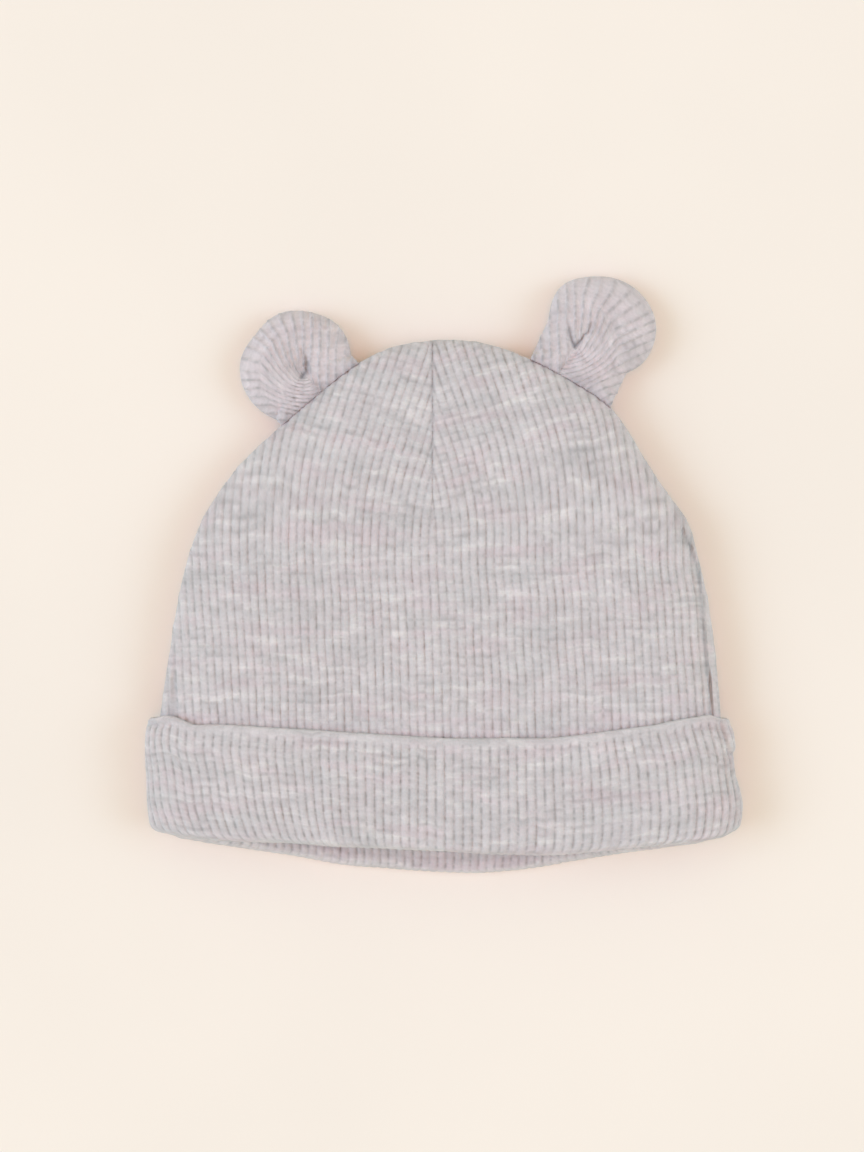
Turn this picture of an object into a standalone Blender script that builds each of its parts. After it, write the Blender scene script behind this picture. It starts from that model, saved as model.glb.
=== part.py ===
"""Baby hat with ears: a ribbed knit beanie with a turned-up cuff and two round pinched ears.

The hat lies flat on its back on the floor. +Z is up, the crown points to +Y and the mouth to -Y.
The outline is drawn from above, with x from the middle of the hat and y from the back hem. The
whole hat is moved at the end so that the origin is on the floor under its middle.
"""

import math
from collections import namedtuple

import bmesh
import bpy
from mathutils import Vector

MM = 0.001

# Driving sizes
HAT_WIDTH = 170.0 * MM  # across the cuff, lying flat
HAT_LENGTH = 152.5 * MM  # from the back hem to the top of the crown, without the ears
CROWN_PILE = 18.0 * MM  # height of the crown's front above the floor, in the middle
WALL = 2.4 * MM  # double rib knit
GAP = 0.35 * MM  # clearance between neighbouring pieces

CUFF_DEPTH = 31.5 * MM  # the turned-up band at the sides of the hat
CUFF_SAG_FRONT = 7.2 * MM  # how far its top edge dips in the middle, in front
CUFF_SAG_BACK = 12.0 * MM  # and behind
HEM_DROP_FRONT = 7.7 * MM  # how far the hem hangs below the side corners, in front
HEM_DROP_BACK = 13.5 * MM  # and behind

SEAM_HEIGHT = 7.5 * MM  # the seam between the panels, above the floor
SEAM_LEAD = 0.8 * MM  # the upright strip of each panel next to the seam
ROLL_REACH = 80.0 * MM  # from the seam to where the front is level
SAG_LENGTH = 14.0 * MM  # over this length the back comes down to the floor past the cuff

DART_LENGTH = 46.0 * MM  # the sewn dart at the top of the front
DART_DEPTH = 1.6 * MM
DART_SPREAD = 5.0 * MM

EAR_RADIUS = 16.0 * MM
EAR_NECK = 24.5 * MM  # width of an ear's base along the seam
EAR_PILE = 11.0 * MM  # thickness of an ear
EAR_EDGE = 4.5 * MM  # height of an ear's rim above the floor
EAR_PIT_DEPTH = 6.0 * MM  # depth of the pinch in the middle of an ear
EAR_PLEAT_DEPTH = 1.5 * MM  # depth of the pleat from the pinch to the base
EAR_PLEAT_WIDTH = 2.5 * MM

# How finely the pieces are divided
HALF_COLUMNS = 13  # between the seam and the dart, and again to the other seam
CUFF_ROWS = 4
CROWN_ROWS = 16
TURN_STEPS = 6
EDGE_STEPS = 6
EAR_SEGMENTS = 32
EAR_RINGS = 14

ROLL_POWER = 6.0  # how square the front's rolled edge is
ROW_POWER = 1.6  # how much closer the crown's rows lie towards the top

# The crown's outline from the left end of the hem over the top to the right end.
# across: share of half the crown's width; up: share of the hat's length above the back hem.
Edge = namedtuple("Edge", "across up")
CROWN_EDGE = (
    Edge(-0.985, 0.066),
    Edge(-1.004, 0.137),
    Edge(-1.004, 0.240),
    Edge(-0.990, 0.302),
    Edge(-0.971, 0.377),
    Edge(-0.933, 0.503),
    Edge(-0.898, 0.587),
    Edge(-0.849, 0.660),
    Edge(-0.800, 0.705),
    Edge(-0.731, 0.756),
    Edge(-0.648, 0.802),
    Edge(-0.558, 0.846),
    Edge(-0.442, 0.900),
    Edge(-0.317, 0.952),
    Edge(-0.188, 0.987),
    Edge(-0.049, 1.000),
    Edge(0.090, 0.999),
    Edge(0.191, 0.987),
    Edge(0.299, 0.965),
    Edge(0.435, 0.927),
    Edge(0.563, 0.881),
    Edge(0.637, 0.831),
    Edge(0.706, 0.769),
    Edge(0.790, 0.702),
    Edge(0.849, 0.655),
    Edge(0.891, 0.574),
    Edge(0.919, 0.503),
    Edge(0.943, 0.409),
    Edge(0.957, 0.325),
    Edge(0.962, 0.270),
    Edge(0.974, 0.200),
    Edge(1.006, 0.130),
    Edge(0.985, 0.066),
)
TOP_LEFT = 13.4  # where the top of the outline starts, counted in rows of the table
TOP_RIGHT = 17.0

# The turned-up band across the hat.
# across: -1 at the left seam, 1 at the right; the rest are shares of the drops and sags above.
Band = namedtuple("Band", "across hem_front hem_back top")
CUFF_BAND = (
    Band(-1.00, 0.00, 0.00, 0.00),
    Band(-0.95, 0.28, 0.30, 0.08),
    Band(-0.85, 0.46, 0.41, 0.22),
    Band(-0.60, 0.70, 0.63, 0.62),
    Band(-0.30, 0.91, 0.86, 0.90),
    Band(0.00, 1.00, 0.99, 1.00),
    Band(0.20, 1.00, 0.97, 0.99),
    Band(0.45, 0.92, 0.79, 0.76),
    Band(0.75, 0.60, 0.55, 0.28),
    Band(0.90, 0.45, 0.42, 0.09),
    Band(0.97, 0.34, 0.27, 0.02),
    Band(1.00, 0.00, 0.00, 0.00),
)

# The ears. seam: place along the crown's outline; stand_off: from the seam to the ear's middle;
# size: share of EAR_RADIUS; pit_side, pit_out: the pinch from the ear's middle, along the seam
# and away from it. The last three are shares of EAR_RADIUS.
Ear = namedtuple("Ear", "name seam stand_off size pit_side pit_out")
EARS = (
    Ear("ear_left", 12.0, 0.65, 1.01, 0.12, -0.10),
    Ear("ear_right", 19.05, 1.07, 0.96, -0.17, -0.52),
)

# Colour, roughness and metallic value of each piece's knit
Knit = namedtuple("Knit", "color roughness metallic")
KNITS = {
    "crown_front": Knit((0.590, 0.552, 0.558, 1.0), 0.95, 0.0),
    "crown_back": Knit((0.575, 0.540, 0.546, 1.0), 0.95, 0.0),
    "cuff": Knit((0.585, 0.548, 0.552, 1.0), 0.95, 0.0),
    "ear_left": Knit((0.582, 0.536, 0.543, 1.0), 0.95, 0.0),
    "ear_right": Knit((0.582, 0.536, 0.543, 1.0), 0.95, 0.0),
}

CROWN_HALF = HAT_WIDTH / 2 - WALL - GAP
FOLD_RADIUS = WALL + GAP / 2  # outside of the hem's fold, round a slot as wide as the clearance


def cubic(before, start, end, after, share):
    """A point of the smooth line from start to end, between its neighbours before and after."""
    slope_in = (end - before) / 2
    slope_out = (after - start) / 2
    square = share * share
    cube = square * share
    return (
        start * (2 * cube - 3 * square + 1)
        + slope_in * (cube - 2 * square + share)
        + end * (3 * square - 2 * cube)
        + slope_out * (cube - square)
    )


def edge_at(place):
    """The point of the crown's outline at a place counted in rows of its table."""
    last = len(CROWN_EDGE) - 1
    row = min(int(place), last - 1)
    rows = [CROWN_EDGE[min(max(row + step, 0), last)] for step in (-1, 0, 1, 2)]
    points = [Vector((each.across * CROWN_HALF, each.up * HAT_LENGTH)) for each in rows]
    return cubic(*points, place - row)


def edge_line(start, end):
    """The outline from one place to another as a line of points."""
    count = math.ceil((end - start) * EDGE_STEPS)
    return [edge_at(start + (end - start) * step / count) for step in range(count + 1)]


def along(line, share):
    """The point at a share of a line's length."""
    lengths = [(b - a).length for a, b in zip(line, line[1:])]
    left = share * sum(lengths)
    for point, following, length in zip(line, line[1:], lengths):
        if left <= length:
            return point.lerp(following, left / length)
        left -= length
    return line[-1]


def side_x(line, y):
    """The x of a line that climbs, at a height y. Below its foot the line goes straight down."""
    if y <= line[0].y:
        return line[0].x
    for low, high in zip(line, line[1:]):
        if high.y >= y:
            return low.x + (high.x - low.x) * (y - low.y) / (high.y - low.y)
    return line[-1].x


OUTLINE = edge_line(0, len(CROWN_EDGE) - 1)
LEFT_SIDE = edge_line(0, TOP_LEFT)
TOP_SIDE = edge_line(TOP_LEFT, TOP_RIGHT)
RIGHT_SIDE = edge_line(TOP_RIGHT, len(CROWN_EDGE) - 1)[::-1]


def edge_distance(point):
    """How far a point is from the outline's sides and top."""
    best = math.inf
    for start, end in zip(OUTLINE, OUTLINE[1:]):
        span = end - start
        share = (point - start).dot(span) / span.length_squared
        nearest = start + span * min(max(share, 0.0), 1.0)
        best = min(best, (point - nearest).length)
    foot = max(OUTLINE[0].y, OUTLINE[-1].y)
    if point.y < foot:
        best = min(best, point.x - OUTLINE[0].x, OUTLINE[-1].x - point.x)
    return max(best, 0.0)


def band(column, across):
    """A column of the cuff's table at any place across the hat."""
    last = len(CUFF_BAND) - 1
    row = 0
    while row < last - 1 and CUFF_BAND[row + 1].across < across:
        row += 1
    start, end = CUFF_BAND[row], CUFF_BAND[row + 1]
    share = (across - start.across) / (end.across - start.across)
    rows = [CUFF_BAND[min(max(row + step, 0), last)] for step in (-1, 0, 1, 2)]
    return cubic(*[getattr(each, column) for each in rows], share)


def hem_y(across, front):
    """The lowest line of the folded hem."""
    if front:
        return HEM_DROP_BACK - HEM_DROP_FRONT * band("hem_front", across)
    return HEM_DROP_BACK * (1 - band("hem_back", across))


def cuff_top_y(across, front):
    """The top edge of the turned-up band."""
    sag = CUFF_SAG_FRONT if front else CUFF_SAG_BACK
    return HEM_DROP_BACK + CUFF_DEPTH - sag * band("top", across)


def cuff_level(across, front, share):
    """A height within the band, from 0 at the middle of the hem's fold to 1 at its top edge."""
    fold = hem_y(across, front) + FOLD_RADIUS
    return fold + (cuff_top_y(across, front) - fold) * share


def panel_foot_y(across, front):
    """The lower edge of a crown panel, just above the hem's fold."""
    return cuff_level(across, front, 0.0) + GAP


def smoothstep(share):
    share = min(max(share, 0.0), 1.0)
    return share * share * (3 - 2 * share)


DART_FOOT = HAT_LENGTH - DART_LENGTH
DART_X = edge_at((TOP_LEFT + TOP_RIGHT) / 2).x


def front_z(point):
    """Height of the crown's front, with its rolled edge and the crease of the dart."""
    share = min(edge_distance(point) / ROLL_REACH, 1.0)
    roll = math.sqrt(1 - (1 - share) ** ROLL_POWER)
    foot = SEAM_HEIGHT + SEAM_LEAD
    height = foot + (CROWN_PILE - foot) * roll
    climb = smoothstep((point.y - DART_FOOT) / DART_LENGTH)
    crease = DART_DEPTH * climb * math.exp(-abs(point.x - DART_X) / DART_SPREAD)
    return height - crease * roll


def back_z(point, across):
    """Height of the crown's back: on the cuff's back layer, then down on the floor past it."""
    past_cuff = (point.y - cuff_top_y(across, False) - WALL) / SAG_LENGTH
    rest = (WALL + GAP) * (1 - smoothstep(past_cuff))
    radius = SEAM_HEIGHT - SEAM_LEAD - rest
    share = min(edge_distance(point) / radius, 1.0)
    return rest + radius * (1 - math.sqrt(1 - (1 - share) ** 2))


def columns():
    """Shares across the hat, closer together near both seams and near the dart."""
    half = [(1 - math.cos(math.pi * step / HALF_COLUMNS)) / 4 for step in range(HALF_COLUMNS)]
    return half + [0.5 + share for share in half] + [1.0]


def cuff_zone_point(share, y):
    """A point of the outline's inside at a height y within the cuff."""
    left, right = side_x(LEFT_SIDE, y), side_x(RIGHT_SIDE, y)
    return Vector((left + (right - left) * share, y))


def side_share(line, y):
    """The share of a side line's length at which it reaches the height y."""
    total = sum((b - a).length for a, b in zip(line, line[1:]))
    passed = 0.0
    for low, high in zip(line, line[1:]):
        if high.y >= y:
            return (passed + (high - low).length * (y - low.y) / (high.y - low.y)) / total
        passed += (high - low).length
    return 1.0


def panel_rows(front):
    """The plan of a crown panel, row by row from its foot to the top of the outline."""
    shares = columns()
    brow = [cuff_top_y(2 * share - 1, front) + WALL for share in shares]
    feet = [panel_foot_y(2 * share - 1, front) for share in shares]
    rows = [[cuff_zone_point(share, y) for share, y in zip(shares, feet)]]
    for step in range(1, CUFF_ROWS):
        heights = [cuff_level(2 * share - 1, front, step / CUFF_ROWS) for share in shares]
        rows.append([cuff_zone_point(share, y) for share, y in zip(shares, heights)])
    base = [cuff_zone_point(share, y) for share, y in zip(shares, brow)]
    crest = [along(TOP_SIDE, share) for share in shares]
    start_left, start_right = side_share(LEFT_SIDE, brow[0]), side_share(RIGHT_SIDE, brow[-1])
    for step in range(CROWN_ROWS + 1):
        climb = 1 - (1 - step / CROWN_ROWS) ** ROW_POWER
        left = along(LEFT_SIDE, start_left + (1 - start_left) * climb)
        right = along(RIGHT_SIDE, start_right + (1 - start_right) * climb)
        row = []
        for share, low, high in zip(shares, base, crest):
            across = left.lerp(right, share)
            up = low.lerp(high, climb)
            corner_low, corner_high = base[0].lerp(base[-1], share), crest[0].lerp(crest[-1], share)
            row.append(across + up - corner_low.lerp(corner_high, climb))
        rows.append(row)
    return rows


def make_object(name, mesh_data, collection):
    """An object for a bmesh, in its own knit material."""
    mesh = bpy.data.meshes.new(name)
    mesh_data.to_mesh(mesh)
    mesh_data.free()
    knit = KNITS[name]
    material = bpy.data.materials.new(name + "_knit")
    material.use_nodes = True
    shader = material.node_tree.nodes["Principled BSDF"]
    shader.inputs["Base Color"].default_value = knit.color
    shader.inputs["Roughness"].default_value = knit.roughness
    shader.inputs["Metallic"].default_value = knit.metallic
    mesh.materials.append(material)
    mesh.shade_smooth()
    piece = bpy.data.objects.new(name, mesh)
    collection.objects.link(piece)
    return piece


def loft(mesh_data, rows, around=False):
    """Faces between rows of points; around closes each row and joins the last to the first."""
    grid = [[mesh_data.verts.new(point) for point in row] for row in rows]
    pairs = list(zip(grid, grid[1:]))
    if around:
        pairs.append((grid[-1], grid[0]))
    for low, high in pairs:
        count = len(low) if around else len(low) - 1
        for spot in range(count):
            following = (spot + 1) % len(low)
            mesh_data.faces.new((low[spot], low[following], high[following], high[spot]))
    return grid


def crown_panel(name, front, collection):
    """One panel of the crown: an open domed surface, upright at the seam, thickened inwards."""
    shares = columns()
    side = 1 if front else -1
    rows = []
    for row in panel_rows(front):
        heights = [
            front_z(point) if front else back_z(point, 2 * share - 1)
            for point, share in zip(row, shares)
        ]
        rows.append([Vector((point.x, point.y, z)) for point, z in zip(row, heights)])
    mesh_data = bmesh.new()
    grid = loft(mesh_data, rows)
    border = [row[0] for row in grid] + grid[-1][1:-1] + [row[-1] for row in reversed(grid)]
    rim = [mesh_data.verts.new(vert.co) for vert in border]
    for vert in rim:
        vert.co.z = SEAM_HEIGHT + side * GAP / 2
    for spot in range(len(border) - 1):
        mesh_data.faces.new((border[spot], border[spot + 1], rim[spot + 1], rim[spot]))
    bmesh.ops.recalc_face_normals(mesh_data, faces=mesh_data.faces)
    middle = max(mesh_data.faces, key=lambda face: face.calc_area())
    if middle.normal.z * side < 0:
        bmesh.ops.reverse_faces(mesh_data, faces=mesh_data.faces)
    panel = make_object(name, mesh_data, collection)
    solidify = panel.modifiers.new("wall", "SOLIDIFY")
    solidify.thickness = WALL
    solidify.offset = -1.0
    solidify.use_even_offset = True
    return panel


def crown_section(y_front, y_back):
    """The crown's section round the hat as points, each at its own station's height.

    y_front and y_back give the height of every station across. The result runs over the front
    from the left seam to the right, and under the back to the left again.
    """
    shares = columns()
    front = []
    for share, y in zip(shares, y_front):
        point = cuff_zone_point(share, y)
        front.append(Vector((point.x, y, front_z(point))))
    back = []
    for share, y in zip(shares, y_back):
        point = cuff_zone_point(share, y)
        back.append(Vector((point.x, y, back_z(point, 2 * share - 1))))
    right_seam = Vector((front[-1].x, y_front[-1], SEAM_HEIGHT))
    left_seam = Vector((front[0].x, y_front[0], SEAM_HEIGHT))
    return front + [right_seam] + back[::-1] + [left_seam]


def section_normals(points):
    """The outward move at each point of a section that shifts both edges beside it by one unit."""
    spans = [following - point for point, following in zip(points, points[1:] + points[:1])]
    outward = [Vector((-span.z, 0.0, span.x)).normalized() for span in spans]
    return [
        (before + after) / (1 + before.dot(after))
        for before, after in zip(outward[-1:] + outward[:-1], outward)
    ]


def cuff_profile():
    """The cuff's section along the hat, as (share, shift, offset) from the top edge round.

    share runs from 0 at the hem's fold to 1 at the top edge, shift is added to that height, and
    offset is measured outwards from the crown.
    """
    outer, inner = GAP + WALL, GAP
    profile = []
    for step in range(TURN_STEPS + 1):
        turn = math.pi * step / TURN_STEPS
        reach = WALL / 2
        profile.append((1.0, reach * (math.sin(turn) - 1), GAP + reach - reach * math.cos(turn)))
    for step in range(CUFF_ROWS - 1, 0, -1):
        profile.append((step / CUFF_ROWS, 0.0, outer))
    for step in range(TURN_STEPS + 1):
        turn = math.pi * step / TURN_STEPS
        reach = FOLD_RADIUS
        profile.append((0.0, -reach * math.sin(turn), GAP / 2 + reach * math.cos(turn)))
    for step in range(3):
        turn = math.pi * step / 2
        reach = GAP / 2
        profile.append((0.0, -reach * math.sin(turn), GAP / 2 - reach * math.cos(turn)))
    for step in range(1, CUFF_ROWS):
        profile.append((step / CUFF_ROWS, 0.0, inner))
    return profile


def cuff(collection):
    """The turned-up band: one wall round the hat, folded inwards at the hem."""
    shares = columns()
    stations = [2 * share - 1 for share in shares]
    rings = []
    for height, shift, offset in cuff_profile():
        levels = [
            [cuff_level(across, front, height) + shift for across in stations]
            for front in (True, False)
        ]
        section = crown_section(*levels)
        normals = section_normals(section)
        rings.append([point + normal * offset for point, normal in zip(section, normals)])
    mesh_data = bmesh.new()
    loft(mesh_data, rings, around=True)
    bmesh.ops.recalc_face_normals(mesh_data, faces=mesh_data.faces)
    return make_object("cuff", mesh_data, collection)


def inside_crown(point):
    """Whether a point of the plan is inside the crown's outline."""
    crossings = 0
    for start, end in zip(OUTLINE, OUTLINE[1:]):
        if (start.y > point.y) != (end.y > point.y):
            x = start.x + (end.x - start.x) * (point.y - start.y) / (end.y - start.y)
            crossings += x > point.x
    return crossings % 2 == 1


def reach_to_crown(start, direction, limit):
    """How far a ray from an ear goes before it is a clearance away from the crown."""
    low, high = 0.0, limit
    far = start + direction * limit
    if not inside_crown(far) and edge_distance(far) > GAP:
        return limit
    for _ in range(30):
        middle = (low + high) / 2
        point = start + direction * middle
        if inside_crown(point) or edge_distance(point) < GAP:
            high = middle
        else:
            low = middle
    return low


def ear_reach(ear, middle, pit, direction, seam_way, out_way):
    """The distance from an ear's pinch to its rim, neck or base in one direction."""
    radius = EAR_RADIUS * ear.size
    offset = pit - middle
    along_ray = -offset.dot(direction)
    to_circle = along_ray + math.sqrt(along_ray**2 + radius**2 - offset.length_squared)
    if direction.dot(out_way) >= 0:
        return to_circle
    sideways = direction.dot(seam_way)
    room = EAR_NECK / 2 - math.copysign(1.0, sideways) * offset.dot(seam_way)
    to_neck = room / max(abs(sideways), 1e-6)
    return reach_to_crown(pit, direction, max(to_circle, min(to_neck, 3 * radius)))


def ear(row, collection):
    """A round pinched ear: a flattened ball drawn to its outline, with a pit and a pleat."""
    foot = edge_at(row.seam)
    seam_way = (edge_at(row.seam + 0.5) - edge_at(row.seam - 0.5)).normalized()
    out_way = Vector((-seam_way.y, seam_way.x))
    middle = foot + out_way * row.stand_off * EAR_RADIUS
    pit = middle + (seam_way * row.pit_side + out_way * row.pit_out) * EAR_RADIUS
    mesh_data = bmesh.new()
    bmesh.ops.create_uvsphere(
        mesh_data, u_segments=EAR_SEGMENTS, v_segments=EAR_RINGS, radius=1.0
    )
    for vert in mesh_data.verts:
        spread = min(math.hypot(vert.co.x, vert.co.y), 1.0)
        upper = vert.co.z >= 0
        direction = Vector((vert.co.x, vert.co.y)) if spread > 1e-6 else Vector((1.0, 0.0))
        direction.normalize()
        reach = ear_reach(row, middle, pit, direction, seam_way, out_way)
        puff = math.sqrt(max(1 - spread**3, 0.0))
        place = pit + direction * reach * spread
        if upper:
            pinch = EAR_PIT_DEPTH * math.exp(-((spread / 0.22) ** 2))
            inward = max(-direction.dot(out_way), 0.0) ** 8
            beside = abs((place - pit).dot(seam_way)) / EAR_PLEAT_WIDTH
            pleat = EAR_PLEAT_DEPTH * inward * math.exp(-(beside**2)) * puff
            z = EAR_EDGE + (EAR_PILE - EAR_EDGE) * puff - pinch - pleat * (1 - math.exp(-3 * spread))
        else:
            z = max(EAR_EDGE - 1.3 * EAR_EDGE * puff, 0.0)
        vert.co = (place.x, place.y, z)
    bmesh.ops.recalc_face_normals(mesh_data, faces=mesh_data.faces)
    return make_object(row.name, mesh_data, collection)


def centre_on_floor(pieces):
    """Move the pieces so that the origin is under the middle of the whole hat."""
    corners = [vert.co for piece in pieces for vert in piece.data.vertices]
    middle_x = (min(c.x for c in corners) + max(c.x for c in corners)) / 2
    middle_y = (min(c.y for c in corners) + max(c.y for c in corners)) / 2
    for piece in pieces:
        piece.location = (-middle_x, -middle_y, 0.0)


def main():
    for thing in list(bpy.data.objects):
        bpy.data.objects.remove(thing)
    collection = bpy.data.collections.new("baby hat with ears")
    bpy.context.scene.collection.children.link(collection)
    pieces = [
        crown_panel("crown_front", True, collection),
        crown_panel("crown_back", False, collection),
        cuff(collection),
    ]
    pieces += [ear(row, collection) for row in EARS]
    centre_on_floor(pieces)


main()
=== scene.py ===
# Baby hat with ears, dressed: every CAD solid is replaced by its knitted surface.
# Lengths are in millimetres until a mesh is made, x across and y from the back hem up.
import math

import bpy
import numpy as np
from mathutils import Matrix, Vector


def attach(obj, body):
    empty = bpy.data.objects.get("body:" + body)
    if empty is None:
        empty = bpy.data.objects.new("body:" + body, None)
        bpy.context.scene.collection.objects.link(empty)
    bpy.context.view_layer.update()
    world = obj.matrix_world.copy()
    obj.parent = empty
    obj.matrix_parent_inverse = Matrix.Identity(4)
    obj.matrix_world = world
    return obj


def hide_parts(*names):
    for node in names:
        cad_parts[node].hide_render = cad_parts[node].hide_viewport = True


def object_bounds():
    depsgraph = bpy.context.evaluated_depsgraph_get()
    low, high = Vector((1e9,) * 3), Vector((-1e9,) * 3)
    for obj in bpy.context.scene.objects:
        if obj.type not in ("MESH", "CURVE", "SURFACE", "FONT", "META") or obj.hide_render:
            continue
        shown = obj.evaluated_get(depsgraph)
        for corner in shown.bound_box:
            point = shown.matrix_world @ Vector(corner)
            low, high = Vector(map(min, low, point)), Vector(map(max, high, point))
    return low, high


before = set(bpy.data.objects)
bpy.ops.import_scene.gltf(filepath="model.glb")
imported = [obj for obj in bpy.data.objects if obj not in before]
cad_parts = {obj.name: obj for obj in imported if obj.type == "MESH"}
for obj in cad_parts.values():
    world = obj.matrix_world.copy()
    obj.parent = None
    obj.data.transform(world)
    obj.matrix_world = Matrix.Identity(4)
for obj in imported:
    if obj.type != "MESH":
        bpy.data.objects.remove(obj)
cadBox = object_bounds()
mm = 0.001

# sizes of the construction, as the solids have them
hat = dict(
    width=170.0, length=152.5, pile=18.0, wall=2.4, gap=0.35,
    cuffDepth=31.5, cuffSagFront=7.2, cuffSagBack=12.0, hemDropFront=7.7, hemDropBack=13.5,
    seamHeight=7.5, seamLead=0.8, rollReach=80.0, rollPower=6.0, sagLength=14.0,
    dartLength=46.0, dartDepth=1.6, dartSpread=5.0,
    # only here: drops of the cuff's top edge near its ends, and the dart's line further left
    cornerLeft=1.6, cornerRight=1.8, leftDip=1.9, dartShift=1.9,
)
crownHalf = hat["width"] / 2 - hat["wall"] - hat["gap"]
foldRadius = hat["wall"] + hat["gap"] / 2
hemLength = hat["cuffDepth"] + math.pi * foldRadius / 2  # down the band to the middle of its fold

# crown outline, left hem over the top to the right hem: shares of crownHalf and of the length
crownEdge = np.array([
    (-0.985, 0.066), (-1.004, 0.137), (-1.004, 0.240), (-0.990, 0.302), (-0.971, 0.377),
    (-0.933, 0.503), (-0.898, 0.587), (-0.849, 0.660), (-0.800, 0.705), (-0.731, 0.756),
    (-0.648, 0.802), (-0.558, 0.846), (-0.442, 0.900), (-0.317, 0.952), (-0.188, 0.987),
    (-0.049, 1.000), (0.090, 0.999), (0.191, 0.987), (0.299, 0.965), (0.435, 0.927),
    (0.563, 0.881), (0.637, 0.831), (0.706, 0.769), (0.790, 0.702), (0.849, 0.655),
    (0.891, 0.574), (0.919, 0.503), (0.943, 0.409), (0.957, 0.325), (0.962, 0.270),
    (0.974, 0.200), (1.006, 0.130), (0.985, 0.066),
])
topLeft, topRight = 13.4, 17.0

# turned-up band: across, then shares of the front drop, the back drop and the sag of the top edge
cuffBand = np.array([
    (-1.00, 0.22, 0.1255, 0.00), (-0.95, 0.31, 0.30, 0.10), (-0.85, 0.44, 0.41, 0.23),
    (-0.60, 0.57, 0.64, 0.54), (-0.30, 0.70, 0.90, 0.76), (0.00, 0.90, 1.05, 0.97),
    (0.20, 0.98, 1.03, 1.00), (0.45, 0.95, 0.79, 0.90), (0.75, 0.68, 0.55, 0.47),
    (0.90, 0.52, 0.42, 0.15), (0.97, 0.40, 0.27, 0.04), (1.00, 0.22, 0.1255, 0.00),
])

# the knit: one rib and one course of the fabric, and how high its relief stands
knit = dict(
    rib=2.35, cuffRib=2.43, course=2.6, relief=0.55, pit=0.21, courseLine=0.09,
    ribSteps=(0.0, 0.15, 0.36, 0.64, 0.85), courseSteps=(0.0, 0.25, 0.5, 0.75),
    backRibSteps=(0.0, 0.25, 0.5, 0.75), backCourseSteps=(0.0, 0.5),
)


def smooth(share):
    share = np.clip(share, 0.0, 1.0)
    return share * share * (3 - 2 * share)


def hashed(i, j, seed):  # the same value between 0 and 1 for the same cell, every run
    number = (i.astype(np.int64) * 73856093) ^ (j.astype(np.int64) * 19349663) ^ (seed * 83492791)
    number = (number ^ (number >> 13)) * 1274126177
    number = number ^ (number >> 16)
    return (number & 0xFFFFFF) / float(0xFFFFFF)


def soft(x, y, seed):  # smooth noise from -1 to 1, one wave a unit
    x, y = np.broadcast_arrays(np.asarray(x, float), np.asarray(y, float))
    i, j = np.floor(x).astype(np.int64), np.floor(y).astype(np.int64)
    a, b = smooth(x - i), smooth(y - j)
    low = hashed(i, j, seed) * (1 - a) + hashed(i + 1, j, seed) * a
    high = hashed(i, j + 1, seed) * (1 - a) + hashed(i + 1, j + 1, seed) * a
    return 2 * (low * (1 - b) + high * b) - 1


def cubic(rows, place):  # a smooth line through the rows of a table
    last = len(rows) - 1
    row = np.clip(np.floor(place).astype(int), 0, last - 1)
    share = (place - row)[..., None]
    before, start, end, after = (rows[np.clip(row + step, 0, last)] for step in (-1, 0, 1, 2))
    square, cube = share ** 2, share ** 3
    return (start * (2 * cube - 3 * square + 1) + (end - before) / 2 * (cube - 2 * square + share)
            + end * (3 * square - 2 * cube) + (after - start) / 2 * (cube - square))


edgeSize = np.array([crownHalf, hat["length"]])
edgeLast = len(crownEdge) - 1
outline = cubic(crownEdge, np.linspace(0, edgeLast, edgeLast * 16 + 1)) * edgeSize


def edgeAt(place):
    return cubic(crownEdge, np.array([float(place)]))[0] * edgeSize


dartX = edgeAt((topLeft + topRight) / 2)[0] - hat["dartShift"]
dartFoot = hat["length"] - hat["dartLength"]
leftSide = cubic(crownEdge, np.linspace(0, topLeft, 200)) * edgeSize
rightSide = cubic(crownEdge, np.linspace(edgeLast, topRight, 200)) * edgeSize
backToMiddle = cadBox[0].y / mm + 0.02  # world y of the back hem, in millimetres

# signed distance from the crown's edge, positive inside, kept on a grid of plan points
plan = dict(low=(-102.0, -30.0), high=(102.0, 170.0), step=1.0)


def planDistance():
    xs = np.arange(plan["low"][0], plan["high"][0] + plan["step"], plan["step"])
    ys = np.arange(plan["low"][1], plan["high"][1] + plan["step"], plan["step"])
    far = plan["low"][1] * 3
    line = np.vstack([[(outline[0][0], far)], outline, [(outline[-1][0], far)]])
    start, span = line[:-1], np.diff(line, axis=0)
    lengths = (span ** 2).sum(1)
    table = np.zeros((len(xs), len(ys)))
    for column, x in enumerate(xs):
        points = np.stack([np.full(len(ys), x), ys], 1)[:, None, :]
        share = np.clip(((points - start) * span).sum(2) / lengths, 0, 1)
        away = points - start - share[..., None] * span
        distance = np.sqrt((away ** 2).sum(2)).min(1)
        crosses = (start[:, 1] > ys[:, None]) != (start[:, 1] + span[:, 1] > ys[:, None])
        rise = np.where(span[:, 1] == 0, 1, span[:, 1])
        hit = start[:, 0] + span[:, 0] * (ys[:, None] - start[:, 1]) / rise
        inside = (crosses & (hit > x)).sum(1) % 2 == 1
        table[column] = np.where(inside, distance, -distance)
    return table


distanceTable = planDistance()
print("outline ready")


def edgeDistance(x, y):
    a = (x - plan["low"][0]) / plan["step"]
    b = (y - plan["low"][1]) / plan["step"]
    i = np.clip(np.floor(a).astype(int), 0, distanceTable.shape[0] - 2)
    j = np.clip(np.floor(b).astype(int), 0, distanceTable.shape[1] - 2)
    a, b = a - i, b - j
    low = distanceTable[i, j] * (1 - a) + distanceTable[i + 1, j] * a
    high = distanceTable[i, j + 1] * (1 - a) + distanceTable[i + 1, j + 1] * a
    return low * (1 - b) + high * b


def slopeOf(field, x, y, step=0.2):
    across = (field(x + step, y) - field(x - step, y)) / (2 * step)
    up = (field(x, y + step) - field(x, y - step)) / (2 * step)
    return across, up


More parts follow.
